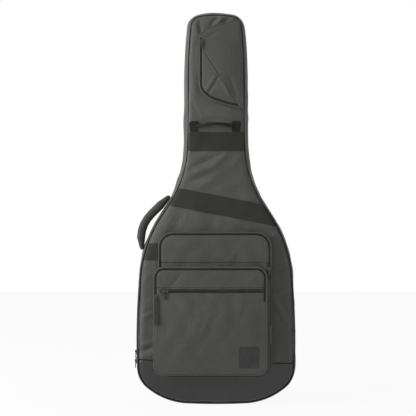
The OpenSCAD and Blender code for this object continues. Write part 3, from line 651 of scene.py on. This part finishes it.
def plush(name, colour):
    """Brushed lining with a short nap."""
    r = Recipe(name)
    r.tint(colour, r.ramp(r.noise(500.0, 4.0, 0.7), 0.6, 1.5, 0.25, 0.75))
    r.bump(r.noise(1400.0, 3.0, 0.7), 0.0006, 0.8)
    return r.finish(0.95, 0.2, sheen=0.5)


FINISHES = {}


def finish(name):
    return FINISHES[name]


def mix_finishes():
    """Makes every material once."""
    c = sizes()[2]
    slope = math.radians(11.0)
    FINISHES.update({
        "shell": nylon("Shell nylon", c.shell),
        "pocket": nylon("Pocket nylon", [v * 0.82 for v in c.shell]),
        "boot": leatherette("Leatherette", c.boot),
        "neck_web": ribbed_web("Neck webbing", c.webbing),
        "cross_web": ribbed_web("Sloping webbing", c.webbing, slope),
        "strap_web": ribbed_web("Strap webbing", [v * 0.6 for v in c.webbing], 0.0, "X", 0.0016),
        "wrap_web": ribbed_web("Handle webbing", c.webbing, math.radians(52.0)),
        "piping": moulded("Piping vinyl", c.piping, 0.36),
        "coil": moulded("Zipper teeth", c.zipper, 0.4),
        "tape": nylon("Zipper tape", c.zipper, 0.0008, 0.7, 0.0),
        "metal": moulded("Black enamel", c.metal, 0.25, 0.00002, 0.7, 0.6, 0.5),
        "rubber": moulded("Moulded rubber", c.rubber, 0.6),
        "sleeve": nylon("Handle sleeve", c.sleeve, 0.0016, 0.62, 0.2),
        "loop": ribbed_web("Grab loop", c.loop),
        "lining": plush("Quilted lining", c.lining),
        "label": nylon("Woven label", c.label, 0.0009, 0.6, 0.0),
        "label_edge": nylon("Label edge", c.label_edge, 0.0006, 0.6, 0.0),
        "buckle": moulded("Buckle plastic", c.buckle, 0.38),
    })


# ---- Pieces ----


def body_under(node):
    """The name of the body that a node belongs to."""
    above = NODES[node].parent
    return next(name for name, empty in frame["bodies"].items() if empty == above)


POCKET_FOLDS = {
    "pocket_a": [((30, 377), (52, 405), 7, 1.2), ((-120, 430), (-60, 420), 12, 1.0),
                 ((60, 440), (110, 425), 10, -1.0)],
    "pocket_b": [((-149, 350), (-122, 325), 5, 1.5), ((-114, 325), (-95, 344), 5, -1.2),
                 ((87, 334), (119, 350), 5, 1.2),
                 ((-127, 265), (-86, 246), 7, 1.6), ((-36, 193), (-18, 237), 9, 1.6),
                 ((60, 240), (64, 290), 11, 1.0),
                 ((-60, 240), (-58, 290), 11, -1.0), ((20, 235), (22, 290), 11, 1.0),
                 ((90, 110), (118, 125), 8, -1.4)],
    "head_pocket": [((-28, 831), (-4, 870), 5, 1.8), ((-20, 829), (4, 868), 5, -1.6),
                    ((35, 870), (54, 822), 6, -2.0),
                    ((16, 866), (38, 817), 6, 1.5), ((-33, 971), (3, 990), 5, -1.5)],
}


def pocket_lift(points, pocket):
    """How far a pocket's cloth stands out of its plain solid: nothing at its foot, most in the middle."""
    low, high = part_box(pocket + "_wall")
    u = np.clip((points[:, 0] - low[0]) / (high[0] - low[0]), 0, 1)
    v = np.clip((points[:, 2] - low[2]) / (high[2] - low[2]), 0, 1)
    out = np.clip((high[1] - points[:, 1]) / (high[1] - low[1]), 0, 1)
    middle = 16 * u * (1 - u) * v * (1 - v)
    crown = sizes()[0].pocket_crown * middle * (1.25 - 0.5 * v)
    uneven = rolling(points, 0.06, len(pocket)) * 0.5 * MM * np.clip(middle * 3, 0, 1)
    return out * (crown + uneven + folds(points, POCKET_FOLDS[pocket]) * np.clip(middle * 4, 0, 1))


def pocket_piece(node, pocket, body, mesh_size, material="pocket"):
    piece = fill_out(bench_copy(node + "_cloth", node), mesh_size, 2)
    points = points_of(piece)
    points[:, 1] -= pocket_lift(points, pocket)
    place(piece, points)
    return dressed(piece, finish(material), body, [node])


def teeth(name, path, body):
    """A finished row of zipper teeth."""
    return dressed(coil(name, path), finish("coil"), body)


class BAG_OT_shell(Operator):
    """Covers the two halves with padded cloth, leatherette and piping"""
    bl_idname = "bag.shell"
    bl_label = "Shell cloth"

    def execute(self, context):
        cloth = context.scene.bag_cloth
        for side, body, creases, seed in (("front", "lid", FRONT_FOLDS, 3), ("back", "shell", BACK_FOLDS, 8)):
            panel = fill_out(bench_copy(side + "_cloth", side + "_panel"), cloth.panel_mesh)
            lifted(panel, creases, seed)
            dressed(panel, finish("shell"), body, [side + "_panel"])
            boot = fill_out(bench_copy(side + "_boot_skin", side + "_boot"), cloth.panel_mesh)
            lifted(boot, creases, seed, BOOT_STANDOFF)
            dressed(boot, finish("boot"), body, [side + "_boot"])
            walls = [side + "_gusset_lower", side + "_gusset_upper"]
            wall = fill_out(bench_copy(side + "_wall_cloth", *walls), cloth.panel_mesh)
            points = points_of(wall)
            depth = np.abs(points[:, 1]) * 1000
            free = np.clip((depth - 8) / 8, 0, 1) * np.clip((41 - depth) / 8, 0, 1)
            swell = free * rolling(points, 0.07, seed + 20) * cloth.wall_swell
            place(wall, points + normals_of(wall) * swell[:, None])
            dressed(wall, finish("shell"), body, walls)
            quilt = [side + "_padding", side + "_lining"]
            inside = fill_out(bench_copy(side + "_quilting", *quilt), cloth.lining_mesh, 1)
            points = points_of(inside)
            lines = math.pi / cloth.quilt_pitch
            sewing = np.minimum(np.abs(np.sin((points[:, 0] + points[:, 2]) * lines)),
                                np.abs(np.sin((points[:, 0] - points[:, 2]) * lines)))
            sunk = np.exp(-(sewing / QUILT_SHARE) ** 2) * cloth.quilt_depth
            flat = np.abs(normals_of(inside)[:, 1]) > 0.8
            place(inside, points - normals_of(inside) * (sunk * flat)[:, None])
            dressed(inside, finish("lining"), body, quilt)
            low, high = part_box(side + "_piping")
            loop = rim_loops(side + "_piping", low[1])
            loop = loop[0] if loop else RIM
            middle = np.full(len(loop), (low[1] + high[1]) / 2)
            path = eased_path(np.column_stack([loop[:, 0], middle, loop[:, 2]]), CORD_STEP, True)
            cord = swept(side + "_piping_cord", path, round_section((high[1] - low[1]) / 2, CORD_SIDES), True)
            dressed(cord, finish("piping"), body, [side + "_piping"])
        return {"FINISHED"}


class BAG_OT_zippers(Operator):
    """Lays the tapes of every zipper, and the teeth of the two main zippers"""
    bl_idname = "bag.zippers"
    bl_label = "Zippers"

    def execute(self, context):
        for side, body, sign in (("front", "lid", -1), ("back", "shell", 1)):
            node = "main_zip_" + side
            tape = bench_copy(node + "_tape", node)
            dressed(tape, finish("tape"), body, [node], smooth=False)
            path = np.column_stack([ZIP_RUN[:, 0], np.full(len(ZIP_RUN), sign * TEETH_Y), ZIP_RUN[:, 2]])
            teeth(node + "_teeth", path, body)
        for pocket, body in (("pocket_a", "lid"), ("pocket_b", "lid"), ("head_pocket", "lid")):
            node = pocket + "_zip"
            tape = fill_out(bench_copy(node + "_tape", node), 1.0 * MM, 1)
            points = points_of(tape)
            points[:, 1] -= pocket_lift(points, pocket)
            place(tape, points)
            dressed(tape, finish("tape"), body, [node])
        tape = bench_copy("pocket_c_zip_tape", "pocket_c_zip")
        in_edit_mode(tape, lambda: bpy.ops.mesh.subdivide(number_cuts=6))
        points = points_of(tape)
        points[:, 1] -= pocket_lift(points, "pocket_b")
        place(tape, points)
        body = body_under("pocket_c_zip")
        dressed(tape, finish("tape"), body, ["pocket_c_zip"], smooth=False)
        return {"FINISHED"}


class BAG_OT_pockets(Operator):
    """Sews the three pockets, their flaps and the bare patches"""
    bl_idname = "bag.pockets"
    bl_label = "Pockets"

    def execute(self, context):
        cloth = context.scene.bag_cloth
        for pocket in ("pocket_a", "pocket_b", "head_pocket"):
            for part in ("_wall", "_panel", "_flap"):
                node = pocket + part
                pocket_piece(node, pocket, body_under(node), cloth.pocket_mesh)
        for node, material in (("badge_patch", "label"), ("side_tab", "label_edge")):
            pocket_piece(node, "pocket_b", body_under(node), 0.7 * MM, material)
        return {"FINISHED"}


class BAG_OT_webbing(Operator):
    """Lays the bands, the handles and the hinge cloth"""
    bl_idname = "bag.webbing"
    bl_label = "Webbing and handles"

    def execute(self, context):
        mesh_size = context.scene.bag_cloth.trim_mesh
        for node, material in (("neck_band", "neck_web"), ("cross_band", "cross_web"),
                               ("handle_band", "wrap_web"), ("grab_tabs", "loop")):
            band = fill_out(bench_copy(node + "_webbing", node), mesh_size, 1)
            lifted(band, FRONT_FOLDS, 3, BAND_STANDOFF)
            dressed(band, finish(material), "lid", [node])
        for node, material, slot in (("side_handle", "sleeve", "handle_braid"),
                                     ("grab_handle", "loop", "webbing")):
            grip = fill_out(bench_copy(node + "_cover", node), mesh_size, 2)
            dressed(grip, finish(material), body_under(node), [node])
        hinge = fill_out(bench_copy("hinge_cloth", "hinge_web_back", "hinge_web_front"), 1.0 * MM, 1)
        dressed(hinge, finish("shell"), None, ["hinge_web_back", "hinge_web_front"])
        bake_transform(hinge)
        return {"FINISHED"}


class BAG_OT_back(Operator):
    """Fills the straps, the neck rest and the end bumper, and trims the back"""
    bl_idname = "bag.back"
    bl_label = "Straps and foam"

    def execute(self, context):
        cloth = context.scene.bag_cloth
        for node in ("strap_pad_left", "strap_pad_right"):
            pad = fill_out(bench_copy(node + "_cloth", node), 2.4 * MM, 4)
            points = points_of(pad)
            seam = np.abs(np.sin(points[:, 2] * math.pi / cloth.strap_channel))
            sunk = np.exp(-(seam / SEAM_SHARE) ** 2) * SEAM_SINK
            place(pad, points - normals_of(pad) * sunk[:, None])
            dressed(pad, finish("shell"), "shell", [node])
        for node in ("strap_web_left", "strap_web_right", "strap_yoke"):
            web = fill_out(bench_copy(node + "_webbing", node), 1.2 * MM, 1)
            dressed(web, finish("strap_web"), "shell", [node])
        for node in ("neck_cradle", "end_bumper"):
            pad = fill_out(bench_copy(node + "_foam", node), 2.4 * MM, 3)
            points = points_of(pad)
            sunk = FOAM_SINK * (1 + rolling(points, 0.04, 5)) / 2
            place(pad, points - normals_of(pad) * sunk[:, None])
            dressed(pad, finish("lining"), "shell", [node])
        return {"FINISHED"}


class BAG_OT_hardware(Operator):
    """Rounds and finishes the sliders, pullers and buckles"""
    bl_idname = "bag.hardware"
    bl_label = "Sliders and buckles"

    def execute(self, context):
        looks = {"slider": "metal", "puller": "rubber", "buckle": "buckle"}
        for node, o in NODES.items():
            look = next((looks[word] for word in looks if word in node), None)
            if look is None:
                continue
            o.data.materials.clear()
            o.data.materials.append(finish(look))
            weld = o.modifiers.new("Weld", "WELD")
            weld.merge_threshold = MERGE
            edges = o.modifiers.new("Bevel", "BEVEL")
            edges.width = context.scene.bag_trim.bevel_w
            edges.segments = 2
            edges.limit_method = "ANGLE"
        return {"FINISHED"}


def plain_light(name, place_at, aim, size, power):
    data = bpy.data.lights.new(name, "AREA")
    data.shape = "SQUARE"
    data.size = size
    data.energy = power
    lamp = bpy.data.objects.new(name, data)
    bpy.context.scene.collection.objects.link(lamp)
    lamp.location = place_at
    lamp.rotation_euler = (Vector(aim) - Vector(place_at)).to_track_quat("-Z", "Y").to_euler()
    return lamp


def white_when_seen(tree, surface, output, share=1.0):
    """Shows plain white to the camera, to shiny surfaces and through clear ones."""
    path = tree.nodes.new("ShaderNodeLightPath")
    glow = tree.nodes.new("ShaderNodeEmission")
    glow.inputs["Strength"].default_value = 1.0
    mix = tree.nodes.new("ShaderNodeMixShader")
    seen = tree.nodes.new("ShaderNodeMath")
    seen.operation = "ADD"
    seen.use_clamp = True
    both = tree.nodes.new("ShaderNodeMath")
    both.operation = "ADD"
    tree.links.new(path.outputs["Is Glossy Ray"], both.inputs[0])
    tree.links.new(path.outputs["Is Transmission Ray"], both.inputs[1])
    tree.links.new(path.outputs["Is Camera Ray"], seen.inputs[0])
    tree.links.new(both.outputs[0], seen.inputs[1])
    amount = tree.nodes.new("ShaderNodeMath")
    amount.operation = "MULTIPLY"
    amount.inputs[1].default_value = share
    tree.links.new(seen.outputs[0], amount.inputs[0])
    tree.links.new(amount.outputs[0], mix.inputs[0])
    tree.links.new(surface, mix.inputs[1])
    tree.links.new(glow.outputs[0], mix.inputs[2])
    tree.links.new(mix.outputs[0], output)


class BAG_OT_stage(Operator):
    """Sets the pale floor, the soft lights and the camera"""
    bl_idname = "bag.stage"
    bl_label = "Stage"

    def execute(self, context):
        scene = context.scene
        s = scene.bag_stage
        bpy.ops.object.select_all(action="DESELECT")
        bpy.ops.mesh.primitive_plane_add(size=s.floor_w)
        floor = context.object
        floor.name = "stage_floor"
        pale = bpy.data.materials.new("Stage floor")
        pale.use_nodes = True
        tree = pale.node_tree
        tree.nodes["Principled BSDF"].inputs["Base Color"].default_value = (0.9, 0.9, 0.9, 1.0)
        tree.nodes["Principled BSDF"].inputs["Roughness"].default_value = 0.8
        floor.data.materials.append(pale)
        ends = tree.nodes["Material Output"].inputs["Surface"]
        white_when_seen(tree, tree.nodes["Principled BSDF"].outputs[0], ends, s.floor_white)
        world = scene.world or bpy.data.worlds.new("Room")
        scene.world = world
        world.use_nodes = True
        room = world.node_tree.nodes["Background"]
        room.inputs["Color"].default_value = (1.0, 1.0, 1.0, 1.0)
        room.inputs["Strength"].default_value = s.room
        white_when_seen(world.node_tree, room.outputs[0],
                        world.node_tree.nodes["World Output"].inputs["Surface"])
        lights = [plain_light("key_light", (-2.9, -1.1, 1.5), (0, 0, 0.5), 1.6, s.key),
                  plain_light("fill_light", (2.4, -2.2, 1.0), (0, 0, 0.5), 2.0, s.fill),
                  plain_light("top_light", (0.0, 0.6, 3.0), (0, 0, 0.5), 1.6, s.top)]
        lens = bpy.data.cameras.new("photo_camera")
        lens.lens = s.lens
        camera = bpy.data.objects.new("photo_camera", lens)
        scene.collection.objects.link(camera)
        camera.location = (s.camera_x, -s.distance, s.camera_z)
        camera.rotation_euler = (math.pi / 2, 0.0, 0.0)
        scene.camera = camera
        scene.view_settings.view_transform = "Standard"
        return {"FINISHED"}


OPERATORS = (BAG_OT_shell, BAG_OT_zippers, BAG_OT_pockets, BAG_OT_webbing, BAG_OT_back, BAG_OT_hardware,
             BAG_OT_stage)
GROUPS = {"bag_cloth": BagCloth, "bag_trim": BagTrim, "bag_colours": BagColours, "bag_stage": BagStage}


class BAG_PT_sidebar(Panel):
    """Lists the sizes, colours and steps of the bag"""
    bl_label = "Gig bag"
    bl_space_type = "VIEW_3D"
    bl_region_type = "UI"
    bl_category = "Gig bag"

    def draw(self, context):
        for name, group in GROUPS.items():
            values = getattr(context.scene, name)
            for prop in group.__annotations__:
                self.layout.prop(values, prop)
        for operator in OPERATORS:
            self.layout.operator(operator.bl_idname)


def register():
    for group in GROUPS.values():
        bpy.utils.register_class(group)
    for name, group in GROUPS.items():
        setattr(bpy.types.Scene, name, PointerProperty(type=group))
    for operator in OPERATORS:
        bpy.utils.register_class(operator)
    bpy.utils.register_class(BAG_PT_sidebar)


def unregister():
    bpy.utils.unregister_class(BAG_PT_sidebar)
    for operator in reversed(OPERATORS):
        bpy.utils.unregister_class(operator)
    for name in GROUPS:
        delattr(bpy.types.Scene, name)
    for group in reversed(list(GROUPS.values())):
        bpy.utils.unregister_class(group)


def main():
    register()
    mix_finishes()
    bpy.ops.bag.shell()
    bpy.ops.bag.zippers()
    bpy.ops.bag.pockets()
    bpy.ops.bag.webbing()
    bpy.ops.bag.back()
    bpy.ops.bag.hardware()
    bpy.ops.bag.stage()


if __name__ == "__main__":
    main()
